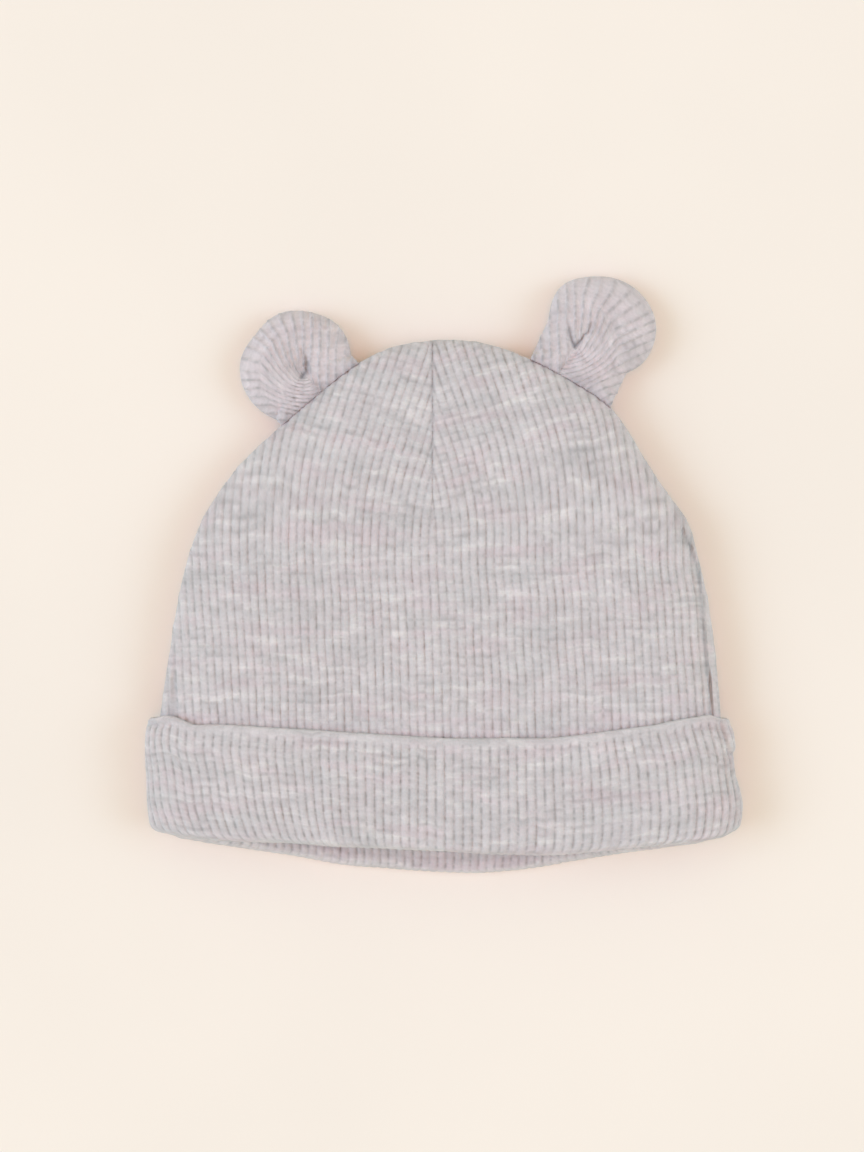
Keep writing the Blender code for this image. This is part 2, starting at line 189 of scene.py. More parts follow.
def toEdge(x, y, depth=0.0):  # the nearest point at that depth inside the crown's edge
    for _ in range(4):
        across, up = slopeOf(edgeDistance, x, y)
        size = np.maximum(np.hypot(across, up), 0.3)
        move = (edgeDistance(x, y) - depth) / size ** 2
        x, y = x - across * move, y - up * move
    return x, y


def band(column, across):
    place = np.interp(across, cuffBand[:, 0], np.arange(len(cuffBand)))
    return cubic(cuffBand[:, [column]], place)[..., 0]


def hemY(across, front):
    if front:
        return hat["hemDropBack"] - hat["hemDropFront"] * band(1, across)
    return hat["hemDropBack"] * (1 - band(2, across))


def cuffTopY(across, front):
    sag = hat["cuffSagFront"] if front else hat["cuffSagBack"]
    corners = hat["cornerLeft"] * smooth((-across - 0.95) / 0.05)
    corners += hat["cornerRight"] * smooth((across - 0.94) / 0.06)
    # in front the left end stands up beside a short dip
    dip = hat["leftDip"] * smooth((across + 0.945) / 0.10)
    dip = dip * np.exp(-np.maximum(across + 0.86, 0) / 0.12)
    return hat["hemDropBack"] + hat["cuffDepth"] - sag * band(3, across) - corners - dip * front


def cuffLevel(across, front, share):
    fold = hemY(across, front) + foldRadius
    return fold + (cuffTopY(across, front) - fold) * share


def sideX(line, y):
    return np.interp(y, line[:, 1], line[:, 0])


# soft hollows and creases in the front: places on it, how deep and how wide they are, and how
# dark their painted shade is
sideCrease = dict(
    line=[(63.7, 105.4), (66.9, 100.2), (70.7, 92.4), (72.4, 86.1), (73.2, 76.7), (74.4, 61.0),
          (75.5, 54.0), (76.0, 40.0)],
    depth=1.2, width=0.45, shade=0.5,
)
leftCrease = dict(line=[(-77.6, 60.0), (-77.7, 52.4), (-77.8, 41.2)],
                  depth=1.2, width=0.8, shade=0.2)
swell = dict(height=0.5, size=26.0, small=0.22, smallSize=9.0)


def toLine(x, y, line):  # distance from a line of points, and the share of the line passed
    points = np.array(line, float)
    spans = np.diff(points, axis=0)
    lengths = np.hypot(spans[:, 0], spans[:, 1])
    passed = np.concatenate([[0], np.cumsum(lengths)])
    best = np.full(np.shape(x), 1e9)
    share = np.zeros(np.shape(x))
    for point, span, length, before in zip(points, spans, lengths, passed):
        along = np.clip(((x - point[0]) * span[0] + (y - point[1]) * span[1]) / length ** 2, 0, 1)
        away = np.hypot(x - point[0] - along * span[0], y - point[1] - along * span[1])
        closer = away < best
        best = np.where(closer, away, best)
        share = np.where(closer, (before + along * length) / passed[-1], share)
    return best, share


def creaseDepth(x, y, crease):
    away, share = toLine(x, y, crease["line"])
    return crease["depth"] * smooth(share / 0.22) * np.exp(-(away / crease["width"]) ** 2)


def frontZ(x, y, folded=True):
    share = np.clip(edgeDistance(x, y) / hat["rollReach"], 0, 1)
    roll = np.sqrt(1 - (1 - share) ** hat["rollPower"])
    foot = hat["seamHeight"] + hat["seamLead"]
    crease = hat["dartDepth"] * smooth((y - dartFoot) / hat["dartLength"])
    crease = crease * np.exp(-np.abs(x - dartX) / hat["dartSpread"])
    swells = swell["height"] * soft(x / swell["size"], y / swell["size"], 3)
    swells += swell["small"] * soft(x / swell["smallSize"], y / swell["smallSize"], 4)
    height = foot + (hat["pile"] - foot + swells - crease) * roll
    if folded:
        height = height - creaseDepth(x, y, sideCrease) - creaseDepth(x, y, leftCrease)
    return height


def backZ(x, y, across):
    past = (y - cuffTopY(across, False) - hat["wall"]) / hat["sagLength"]
    rest = (hat["wall"] + hat["gap"]) * (1 - smooth(past))
    radius = hat["seamHeight"] - hat["seamLead"] - rest
    share = np.clip(edgeDistance(x, y) / radius, 0, 1)
    return rest + radius * (1 - np.sqrt(1 - (1 - share) ** 2))


def backPlain(x, y):
    middle = (sideX(leftSide, y) + sideX(rightSide, y)) / 2
    half = (sideX(rightSide, y) - sideX(leftSide, y)) / 2
    return backZ(x, y, np.clip((x - middle) / np.maximum(half, 1), -1, 1))


def even(ribs, courses, seed):  # 1 where the courses line up across the ribs
    return smooth(0.45 + 1.5 * soft(ribs / 9, courses / 4, seed + 2))


def settled(ribs, courses, seed):  # courses that stray from rib to rib outside the even places
    stray = soft(ribs / 1.2, courses / 5, seed + 5)
    return courses + 0.22 * (1 - even(ribs, courses, seed)) * stray


def relief(ribs, courses, seed):  # height of the knit above its base, in millimetres
    phase = np.abs(ribs - np.round(ribs)) * 2  # 0 in a groove, 1 on top of a rib
    turn = np.abs(courses - np.round(courses)) * 2  # 0 on a course line
    rib = smooth((phase + 0.05) / 0.75)
    groove = 1 - smooth(phase / 0.5)
    line = 1 - smooth(turn / 0.8)
    cell = soft(np.floor(ribs) * 1.7, courses * 0.9, seed)
    place = soft(np.round(ribs) * 1.7, courses * 0.8, seed + 1)
    height = knit["relief"] * (rib - 1) * (1 + 0.25 * place) + 0.06 * cell * rib
    height -= knit["pit"] * groove * line * np.maximum(0.5 + place, 0)
    broken = 0.5 + 0.5 * soft(np.floor(ribs) * 2.3, courses * 0.45, seed + 3)
    height -= knit["courseLine"] * line * rib * (0.15 + even(ribs, courses, seed)) * 2 * broken
    return height


# Mesh making: patches of points with their fabric place, their place on the bake map and their
# painted shade
def patch(points, cloth, bake, faces, fold=0.0):
    points = points.reshape(-1, 3)
    paintedShade = np.zeros((len(points), 2))
    paintedShade[:, 0] = np.ravel(fold)
    return dict(points=points, cloth=cloth.reshape(-1, 2), bake=bake.reshape(-1, 2),
                faces=faces, paintedShade=paintedShade)


def gridFaces(rows, columns, around=False, over=False):
    index = np.arange(rows * columns).reshape(rows, columns)
    if around:
        index = np.hstack([index, index[:, :1]])
    if over:
        index = np.vstack([index, index[:1]])
    quads = np.stack([index[:-1, :-1], index[:-1, 1:], index[1:, 1:], index[1:, :-1]], -1)
    return quads.reshape(-1, 4)


def makePiece(name, patches, material, weld=2e-4):
    points = np.concatenate([each["points"] for each in patches])
    cloth = np.concatenate([each["cloth"] for each in patches])
    bake = np.concatenate([each["bake"] for each in patches])
    paintedShade = np.concatenate([each["paintedShade"] for each in patches])
    starts = np.cumsum([0] + [len(each["points"]) for each in patches])
    faces = [start + each["faces"] for start, each in zip(starts, patches)]
    corners = np.concatenate([
        np.hstack([each, each[:, :1]]) if each.shape[1] == 3 else each for each in faces])
    _, first, spot = np.unique(np.round(points / weld).astype(np.int64), axis=0,
                               return_index=True, return_inverse=True)
    spot = spot.reshape(-1)
    joined = spot[corners]
    keep = joined != np.roll(joined, 1, axis=1)
    solid = (keep.sum(1) >= 3) & (joined[:, 0] != joined[:, 2]) & (joined[:, 1] != joined[:, 3])
    corners, joined, keep = corners[solid], joined[solid], keep[solid]
    totals = keep.sum(1)
    mesh = bpy.data.meshes.new(name)
    used, renumbered = np.unique(joined[keep], return_inverse=True)
    place = points[first][used] + (0.0, backToMiddle, 0.0)
    mesh.vertices.add(len(used))
    mesh.vertices.foreach_set("co", (place * mm).astype(np.float32).ravel())
    mesh.loops.add(int(totals.sum()))
    mesh.loops.foreach_set("vertex_index", renumbered.reshape(-1).astype(np.int32))
    mesh.polygons.add(len(totals))
    mesh.polygons.foreach_set("loop_start", (np.cumsum(totals) - totals).astype(np.int32))
    # the fold UV layer carries the painted shade of each point
    for title, values in (("OFBake", bake), ("knit", cloth), ("fold", paintedShade)):
        layer = mesh.uv_layers.new(name=title)
        layer.data.foreach_set("uv", values[corners[keep]].astype(np.float32).ravel())
    mesh.update(calc_edges=True)
    mesh.validate()
    mesh.shade_smooth()
    mesh.materials.append(material)
    piece = bpy.data.objects.new(name, mesh)
    bpy.context.scene.collection.objects.link(piece)
    print(name, "has", len(mesh.vertices), "points and", len(mesh.polygons), "faces")
    return piece


def zipper(first, firstTurn, second, secondTurn):  # triangles between two loops sorted by turn
    faces = []
    i = j = 0
    while i < len(first) or j < len(second):
        nextFirst = firstTurn[(i + 1) % len(first)] + 2 * math.pi * ((i + 1) // len(first))
        nextSecond = secondTurn[(j + 1) % len(second)] + 2 * math.pi * ((j + 1) // len(second))
        a, b = first[i % len(first)], second[j % len(second)]
        if j >= len(second) or (i < len(first) and nextFirst <= nextSecond):
            faces.append((a, first[(i + 1) % len(first)], b))
            i += 1
        else:
            faces.append((a, second[(j + 1) % len(second)], b))
            j += 1
    return np.array(faces)


# Shader nodes: sums on a Wire add Math nodes, and add() makes any other node
class Wire:
    def __init__(self, maker, socket):
        self.maker, self.socket = maker, socket

    def math(self, operation, other=0.0, swap=False):
        values = (other, self) if swap else (self, other)
        node = self.maker.add("ShaderNodeMath", {"operation": operation}, dict(enumerate(values)))
        return Wire(self.maker, node.outputs[0])

    def __add__(self, other):
        return self.math("ADD", other)

    def __mul__(self, other):
        return self.math("MULTIPLY", other)

    def __sub__(self, other):
        return self.math("SUBTRACT", other)

    def __rsub__(self, other):
        return self.math("SUBTRACT", other, swap=True)

    __radd__, __rmul__ = __add__, __mul__


class Shader:
    def __init__(self, tree):
        self.tree = tree
        tree.nodes.clear()

    def add(self, kind, settings=None, sockets=None):
        node = self.tree.nodes.new(kind)
        for key, value in (settings or {}).items():
            setattr(node, key, value)
        for key, value in (sockets or {}).items():
            if isinstance(value, Wire):
                self.tree.links.new(value.socket, node.inputs[key])
            else:
                node.inputs[key].default_value = value
        return node

    def wire(self, node, output=0):
        return Wire(self, node.outputs[output])

    def ramp(self, value, low, high):  # 0 below low, 1 above high, smooth between
        node = self.add("ShaderNodeMapRange", {"interpolation_type": "SMOOTHSTEP"},
                        {"Value": value, "From Min": low, "From Max": high})
        return self.wire(node)

    def mix(self, factor, first, second, kind="MIX"):
        node = self.add("ShaderNodeMix", {"data_type": "RGBA", "blend_type": kind},
                        {0: factor, 6: first, 7: second})
        return self.wire(node, 2)

    def vector(self, x, y, z):
        return self.wire(self.add("ShaderNodeCombineXYZ", None, {0: x, 1: y, 2: z}))

    def noise(self, vector, scale, detail=2.0, roughness=0.5):
        node = self.add("ShaderNodeTexNoise", {"noise_dimensions": "3D"},
                        {"Vector": vector, "Scale": scale, "Detail": detail,
                         "Roughness": roughness})
        return self.wire(node)


# the yarn: its colours and how strong its mottling is, and how dark the painted shade in its
# grooves, course lines, stitch legs and creases is
heather = dict(
    base=(0.665, 0.625, 0.655, 1), cream=(0.733, 0.703, 0.719, 1), blue=(0.624, 0.601, 0.628, 1),
    pink=(0.672, 0.594, 0.636, 1), grooveShade=0.27, lineShade=0.165,
    stitchShade=0.03, grain=0.30, spots=0.30, patches=0.26, streaks=0.22,
    coolGroove=0.010, foldShade=(0.445, 0.405, 0.375), hemGroove=0.2, roughness=0.92, sheen=0.2,
)


def newMaterial(name):
    material = bpy.data.materials.new(name)
    material.use_nodes = True
    return material


def knitMaterial(name, shift, tone=0.975, grooveShadeScale=1.0, blush=0.0, banded=False):
    material = newMaterial(name)
    s = Shader(material.node_tree)
    place = s.wire(s.add("ShaderNodeUVMap", {"uv_map": "knit"}))
    split = s.add("ShaderNodeSeparateXYZ", None, {0: place})
    rib, course = s.wire(split, 0), s.wire(split, 1)
    # painted shade from the fold layer: darker in creases, along the dart and at the ear seams,
    # lighter on the back layer past the hem
    fold = s.wire(s.add("ShaderNodeUVMap", {"uv_map": "fold"}))
    fold = s.wire(s.add("ShaderNodeSeparateXYZ", None, {0: fold}), 0)
    phase = (rib.math("FRACT") - 0.5).math("ABSOLUTE") * 2  # 1 in a groove
    turn = (course.math("FRACT") - 0.5).math("ABSOLUTE") * 2  # 1 on a course line
    groove = s.ramp(phase, 0.44, 1.0)
    line = s.ramp(turn, 0.25, 1.0)
    if banded:  # the ribs hardly show on the rolled edge and round the hem
        fromHem = (course - hemLength / knit["course"]).math("ABSOLUTE")
        plain = s.ramp(course, 0.1, 0.7) * s.ramp(fromHem, 0.4, 1.3)
        groove = groove * (plain * (1 - heather["hemGroove"]) + heather["hemGroove"])
    slow = s.noise(s.vector(rib * 0.14, course * 0.34, shift), 1.0)
    streak = s.noise(s.vector(rib * 0.20, course * 0.9, shift + 7), 1.0, 3.0, 0.6)
    patchy = s.noise(s.vector(rib * 0.09, course * 0.30, shift + 13), 1.0, 2.0, 0.6)
    tint = s.noise(s.vector(rib * 0.15, course * 0.5, shift + 19), 1.0, 2.0, 0.5)
    fibre = s.noise(s.vector(rib * 3.4, course * 1.7, shift + 31), 1.0, 3.0, 0.8)
    spot = s.noise(s.vector(rib.math("FLOOR") * 3.3, course * 0.9, shift + 43), 1.0, 1.0)
    gap = s.noise(s.vector(rib.math("ROUND") * 3.3, course * 1.3, shift + 57), 1.0, 2.0)
    broken = s.noise(s.vector(rib.math("FLOOR") * 5.1, course * 0.45, shift + 71), 1.0, 1.0)
    # two rows of stitches to a course, each a chevron across its rib
    stitch = (course * 2 + (1 - phase) * 0.45).math("FRACT")
    legs = s.ramp((stitch - 0.5).math("ABSOLUTE") * 2, 0.35, 1.0) * (1 - groove)
    color = s.mix(s.ramp(streak, 0.50, 0.72), heather["base"], heather["cream"])
    color = s.mix(s.ramp(tint, 0.50, 0.70) * 0.8, color, heather["blue"])
    color = s.mix(s.ramp(tint, 0.50, 0.32) * (0.7 - blush) + blush, color, heather["pink"])
    # painted shade: the grooves, the course lines and the stitch legs are darkened in the colour,
    # with a little red taken out of the groove shade
    dash = s.ramp(gap, 0.40, 0.62) * (line * 0.25 + 0.75)
    dark = groove * (dash * 0.74 + 0.26) * grooveShadeScale
    shade = 1 - dark * heather["grooveShade"]
    lines = s.ramp(slow, 0.42, 0.62) * s.ramp(broken, 0.38, 0.60)
    shade = shade - (1 - groove) * line * lines * heather["lineShade"]
    shade = shade - legs * heather["stitchShade"]
    shade = shade * ((fibre - 0.5) * heather["grain"] + (spot - 0.5) * heather["spots"]
                     + (patchy - 0.5) * heather["patches"]
                     + (streak - 0.5) * heather["streaks"] + tone)
    # the painted shade takes out more red than blue, so it reads neutral under the warm overhead
    # light
    red, green, blue = (shade - fold * share for share in heather["foldShade"])
    grey = s.vector(red - dark * heather["coolGroove"], green, blue)
    color = s.mix(1.0, color, grey, "MULTIPLY")
    bumpHeight = fibre * 0.5 - legs * 0.4
    bump = s.add("ShaderNodeBump", None, {"Strength": 0.4, "Distance": 0.25 * mm,
                                          "Height": bumpHeight})
    surface = s.add("ShaderNodeBsdfPrincipled", None, {
        "Base Color": color, "Roughness": heather["roughness"], "Normal": s.wire(bump),
        "Sheen Weight": heather["sheen"], "Sheen Roughness": 0.6, "Specular IOR Level": 0.15})
    s.add("ShaderNodeOutputMaterial", None, {"Surface": s.wire(surface)})
    return material


# Materials: one knit, with darker painted groove shade on the cuff and ears, and a warmer tone on
# the ears
bodyKnit = knitMaterial("ribKnit", 0.0, grooveShadeScale=0.98)
cuffKnit = knitMaterial("cuffKnit", 50.0, grooveShadeScale=1.2, banded=True)
# the ears' knit is painted a little lighter, to offset the shade round their base
earKnit = knitMaterial("earKnit", 90.0, tone=1.02, grooveShadeScale=1.12, blush=0.45)
print("materials ready")

# Crown panels: the fabric's lines on the lying hat, cut off at the outline and at the dart
lean = dict(body=0.032, side=0.035, upTo=97.0)  # to the right down the hat, more at its sides
# the ribs turn towards the dart: the angle, and the heights where it starts and is full
fan = dict(angle=17.0, start=90.0, full=118.0, spread=190.0, flat=60.0, reach=190.0)
wobble = dict(size=0.3, across=17.0, up=11.0)  # slow waves of the ribs
crown = dict(
    start=14.0,  # the panels begin this far inside the mouth
    hidden=34.0,  # below this the front lies under the cuff
    ribs=46, courses=75,  # ribs on each side of the middle, and courses
    raggedSmall=0.16, raggedWide=0.12, raggedReach=2.5,  # how uneven the knit's edge is
    # dartShade and dartLine: how dark and how wide the painted shade along the dart is
    dartRise=-0.5, dartShade=0.42, dartLine=0.5, backRelief=0.6,
)
innerWall = dict(
    reach=88.0, top=160.0, step=3.0,  # how far its points go across and up, and their spacing
    margin=0.4, seamClear=0.3, rim=0.5, steep=2.2,
)


def fanAngle(up):
    return math.radians(fan["angle"]) * smooth((up - fan["start"]) / (fan["full"] - fan["start"]))


fanRows = np.linspace(0, fan["reach"], 800)
fanTaken = np.concatenate([[0], np.cumsum(np.sin(fanAngle(fanRows[:-1])) * np.diff(fanRows))])
fanClimb = np.concatenate([[0], np.cumsum(np.cos(fanAngle(fanRows[:-1])) * np.diff(fanRows))])


def fabricToPlan(across, up, front):
    # beside the dart the ribs lean towards its line, and the line takes up those that reach it
    side = np.where(across < dartX, -1.0, 1.0)
    away = np.abs(across - dartX)
    taken = np.interp(up, fanRows, fanTaken) / (1 + (away / fan["spread"]) ** 2)
    left = away - taken * front
    onDart = front & (left <= 0)
    left = np.maximum(left, 0)
    x = np.where(onDart, dartX, dartX + side * left)
    rise = np.sin(fanAngle(up)) * fan["flat"] * np.arctan(left / fan["flat"])
    y = np.interp(up, fanRows, fanClimb) + rise if front else up.copy()
    below = np.maximum(lean["upTo"] - y, 0)
    below = below * smooth(below / 20)
    x = x + below * (lean["body"] + lean["side"] * smooth((np.abs(x + 5) - 10) / 60))
    waver = wobble["size"] * soft(across / wobble["across"], up / wobble["up"], 11)
    return np.where(onDart, x, x + waver * smooth(left / 4)), y, onDart


def crownPanel(front):
    pitch, course = knit["rib"], knit["course"]
    ribSteps = knit["ribSteps"] if front else knit["backRibSteps"]
    rowSteps = knit["courseSteps"] if front else knit["backCourseSteps"]
    ribs = np.arange(-crown["ribs"], crown["ribs"] + 1)
    columns = (ribs[:, None] + np.array(ribSteps)).reshape(-1)
    hidden = crown["hidden"] if front else crown["start"] + course
    rows = (np.arange(0, crown["courses"])[:, None] + np.array(rowSteps)).reshape(-1)
    rows = rows[rows * course > hidden]
    firstRows = np.arange(crown["start"] + course, hidden, course) / course
    rows = np.concatenate([[crown["start"] / course], firstRows, rows])
    ribGrid, rowGrid = np.meshgrid(columns, rows)
    x, y, onDart = fabricToPlan(ribGrid * pitch, rowGrid * course, front)
    within = edgeDistance(x, y) > 0.15
    within[0] = within[0] & (np.abs(x[0]) < crownHalf)
    quads = gridFaces(*x.shape)
    kept = quads[within.reshape(-1)[quads].any(1)]
    edgeX, edgeY = toEdge(x, y)
    x, y = np.where(within, x, edgeX), np.where(within, y, edgeY)
    inwardX, inwardY = slopeOf(edgeDistance, x, y)
    uneven = (crown["raggedSmall"] * soft(x / 2.2, y / 2.2, 41)
              + crown["raggedWide"] * soft(x / 6.5, y / 6.5, 43))
    uneven = uneven * (1 - smooth(edgeDistance(x, y) / crown["raggedReach"]))
    x, y = x - inwardX * uneven, y - inwardY * uneven
    depth = np.maximum(edgeDistance(x, y), 0)
    field = frontZ if front else backPlain
    z = field(x, y)
    slopeX, slopeY = slopeOf(field, x, y)
    size = np.sqrt(1 + slopeX ** 2 + slopeY ** 2) * (1 if front else -1)
    seed = 5 if front else 6
    courses = settled(ribGrid, rowGrid, seed)
    rise = np.where(onDart, crown["dartRise"], relief(ribGrid, courses, seed))
    rise = rise * smooth(depth / 0.8) * (1 if front else crown["backRelief"])
    points = np.stack([x - slopeX / size * rise, y - slopeY / size * rise, z + rise / size], -1)
    if not front:
        points[..., 2] = np.maximum(points[..., 2], 0.0)
    bake = np.stack([(ribGrid - columns[0]) / (columns[-1] - columns[0]),
                     (rowGrid - rows[0]) / (rows[-1] - rows[0]) * 0.72], -1)
    cloth = np.stack([ribGrid + (0 if front else 200), courses], -1)
    # painted shade along the dart's seam and in the side creases, darker in the colour
    fold = 0.0 * x
    if front:
        dart = np.exp(-((x - dartX) / crown["dartLine"]) ** 2) * smooth((y - dartFoot) / 12)
        fold = crown["dartShade"] * dart
        for crease in (sideCrease, leftCrease):
            fold = fold + crease["shade"] * creaseDepth(x, y, crease)
    outer = patch(points, cloth, bake, kept if front else kept[:, ::-1], fold)
    return [outer] + panelLining(outer, front)


def borderOf(faces):
    edges = np.concatenate([faces[:, [k, (k + 1) % 4]] for k in range(4)])
    edges = edges[edges[:, 0] != edges[:, 1]]
    key = np.sort(edges, axis=1)
    _, place, count = np.unique(key, axis=0, return_index=True, return_counts=True)
    return np.unique(edges[place[count == 1]])


def turnRound(points):  # angle round the middle of the panel, from 0 to a full turn
    return np.arctan2(points[:, 1] - 70.0, points[:, 0]) % (2 * math.pi)


def panelLining(outer, front):
    # the rim turns in to the seam, and a coarser inner face closes the wall
    points = outer["points"]
    border = borderOf(outer["faces"])
    turns = turnRound(points[border])
    order = np.argsort(turns)
    border, turns = border[order], turns[order]
    _, single = np.unique(np.round(turns, 6), return_index=True)
    border, turns = border[single], turns[single]
    loop = points[border]
    side = 1 if front else -1
    atFoot = loop[:, 1] < crown["start"] + 1.0
    rim = loop.copy()
    rim[:, 2] = np.where(atFoot, loop[:, 2] - side * hat["wall"] / 2, hat["seamHeight"])
    inX, inY = toEdge(loop[:, 0], loop[:, 1], innerWall["rim"])
    rim[:, 0], rim[:, 1] = np.where(atFoot, rim[:, 0], inX), np.where(atFoot, rim[:, 1], inY)
    reach, top, step = innerWall["reach"], innerWall["top"], innerWall["step"]
    xs, ys = np.meshgrid(np.arange(-reach, reach + 1, step), np.arange(crown["start"], top, step))
    within = edgeDistance(xs, ys) > hat["wall"] + innerWall["margin"]
    quads = gridFaces(*xs.shape)
    kept = quads[within.reshape(-1)[quads].any(1)]
    nearX, nearY = toEdge(xs, ys, hat["wall"])
    nearY = np.maximum(nearY, crown["start"])
    xs, ys = np.where(within, xs, nearX), np.where(within, ys, nearY)
    ys[0] = crown["start"]
    field = frontZ if front else backPlain
    slopeX, slopeY = slopeOf(field, xs, ys)
    steep = np.minimum(np.sqrt(1 + slopeX ** 2 + slopeY ** 2), innerWall["steep"])
    z = field(xs, ys) - side * hat["wall"] * steep
    seam = hat["seamHeight"] + side * innerWall["seamClear"]
    z = np.maximum(z, seam) if front else np.minimum(z, seam)
    inner = np.stack([xs, ys, z], -1)
    innerBake = np.stack([(xs + reach) / (2 * reach) * 0.4, 0.75 + (ys / top) * 0.22], -1)
    innerCloth = np.stack([xs / knit["rib"], ys / knit["course"]], -1)
    lining = patch(inner, innerCloth, innerBake, kept[:, ::-1] if front else kept)
    innerBorder = borderOf(lining["faces"])
    innerTurns = turnRound(lining["points"][innerBorder])
    order = np.argsort(innerTurns)
    innerBorder, innerTurns = innerBorder[order], innerTurns[order]
    innerLoop = lining["points"][innerBorder]
    count, inCount = len(loop), len(innerLoop)
    strip = np.concatenate([loop, rim])
    share = turns / (2 * math.pi)
    stripBake = np.stack([0.42 + 0.56 * np.tile(share, 2), np.repeat([0.75, 0.78], count)], -1)
    stripCloth = outer["cloth"][np.tile(border, 2)]
    ring = np.arange(count)
    after = (ring + 1) % count
    faces = np.stack([ring, after, after + count, ring + count], -1)
    rimPatch = patch(strip, stripCloth, stripBake, faces if not front else faces[:, ::-1])
    bridge = np.concatenate([rim, innerLoop])
    bridgeTurn = np.concatenate([share, innerTurns / (2 * math.pi)])
    bridgeBake = np.stack([0.42 + 0.56 * bridgeTurn,
                           np.repeat([0.8, 0.83], [count, inCount])], -1)
    bridgeCloth = np.stack([bridge[:, 0] / knit["rib"], bridge[:, 1] / knit["course"]], -1)
    faces = zipper(np.arange(count), turns, count + np.arange(inCount), innerTurns)
    bridgePatch = patch(bridge, bridgeCloth, bridgeBake, faces if not front else faces[:, ::-1])
    return [rimPatch, bridgePatch, lining]


crownFront = makePiece("crownFront", crownPanel(True), bodyKnit)
crownBack = makePiece("crownBack", crownPanel(False), bodyKnit)

# Cuff: the band round the hat, down to the hem, round it and a way up inside the mouth
cuff = dict(
    inside=14.0, rowStep=0.66, foldSteps=13, rollSteps=8, stations=170, swell=0.35,
    leanLeft=0.21, leanRight=0.22, flare=0.7, peek=1.2, waver=0.0007,
    backLayerShade=-0.10, hemRelief=0.3,
    creases=[
        dict(line=[(79.0, 43.2), (79.9, 39.5), (81.5, 33.9)], depth=1.1, width=0.7),
        dict(line=[(-85.4, 43.0), (-81.6, 42.4), (-77.6, 42.6)], depth=0.9, width=0.6),
    ],
)


def cuffLean(turns, length):  # how far the ribs lean to the right down the band, in millimetres
    turns = (turns + 0.5) % 1 - 0.5
    across = 4 * turns * hat["width"] / 2
    left = smooth((-across - 5) / 55) * cuff["leanLeft"] * np.maximum(length - 7, 0)
    right = smooth((across - 25) / 40) * cuff["leanRight"] * (np.clip(length, 2, 11) - 2)
    return (left + right) * smooth((0.33 - np.abs(turns)) / 0.06)


def cuffSection(yFront, yBack):
    # the crown's section at these heights: over the front left to right, under the back again
    count = cuff["stations"]
    share = (1 - np.cos(np.pi * np.arange(count + 1) / count)) / 2
    lines = []
    for front, heights in ((True, yFront), (False, yBack)):
        y = heights(share)
        left, right = sideX(leftSide, y), sideX(rightSide, y)
        x = left + (right - left) * share
        z = frontZ(x, y, False) if front else backZ(x, y, 2 * share - 1)
        lines.append(np.stack([x, y, z], 1))
    return np.concatenate([lines[0], lines[1][::-1]])


def cuffRing(share, shift, offset, turns):
    line = cuffSection(lambda s: cuffLevel(2 * s - 1, True, share) + shift,
                       lambda s: cuffLevel(2 * s - 1, False, share) + shift)
    span = np.roll(line, -1, 0) - np.roll(line, 1, 0)
    outward = np.stack([-span[:, 2], np.zeros(len(span)), span[:, 0]], 1)
    outward /= np.maximum(np.linalg.norm(outward, axis=1, keepdims=True), 1e-9)
    ring = line + outward * offset
    closed = np.vstack([ring, ring[:1]])
    step = np.hypot(np.diff(closed[:, 0]), np.diff(closed[:, 2]))
    passed = np.concatenate([[0], np.cumsum(step)])
    middle = np.interp(0.0, closed[:cuff["stations"] + 1, 0], passed[:cuff["stations"] + 1])
    places = (middle + turns * passed[-1]) % passed[-1]
    return np.stack([np.interp(places, passed, closed[:, k]) for k in range(3)], 1)


def cuffRows():
    # one entry for each row: share of the band's height, shift up, offset outwards, fabric
    # length, and 1 where its ribs stand or 0 where the layer is hidden and flat
    depth = hat["cuffDepth"]
    wall, gap = hat["wall"], hat["gap"]
    rows = []
    insideSteps = int(cuff["inside"] / cuff["rowStep"])
    for step in range(insideSteps + 1):
        level = cuff["inside"] * (1 - step / insideSteps)
        rows.append((0.0, level, -wall, depth + math.pi * foldRadius + level, 1.0))
    for step in range(1, cuff["foldSteps"]):
        turn = math.pi * step / cuff["foldSteps"]
        rows.append((0.0, -foldRadius * math.sin(turn), gap / 2 - foldRadius * math.cos(turn),
                     depth + (math.pi - turn) * foldRadius, 1.0))
    outerSteps = int(depth / cuff["rowStep"])
    for step in range(outerSteps + 1):
        rows.append((step / outerSteps, 0.0, gap + wall, depth * (1 - step / outerSteps), 1.0))
    for step in range(1, cuff["rollSteps"] + 1):
        turn = math.pi * step / cuff["rollSteps"]
        rows.append((1.0, wall / 2 * math.sin(turn), gap + wall / 2 * (1 + math.cos(turn)),
                     -turn * wall / 2, 1.0))
    hidden = -4.0  # the fabric length given to all of the hidden layer
    for share in (0.7, 0.35, 0.0):
        rows.append((share, 0.0, gap, hidden, 0.0))
    rows.append((0.0, -gap / 2, gap / 2, hidden, 0.0))
    for level in (0.0, cuff["inside"] * 0.5, cuff["inside"]):
        rows.append((0.0, level, 0.0, hidden, 0.0))
    return rows


def ringNormals(points):
    across = np.roll(points, -1, 1) - np.roll(points, 1, 1)
    up = np.roll(points, -1, 0) - np.roll(points, 1, 0)
    normal = np.cross(across, up)
    return normal / np.maximum(np.linalg.norm(normal, axis=-1, keepdims=True), 1e-9)


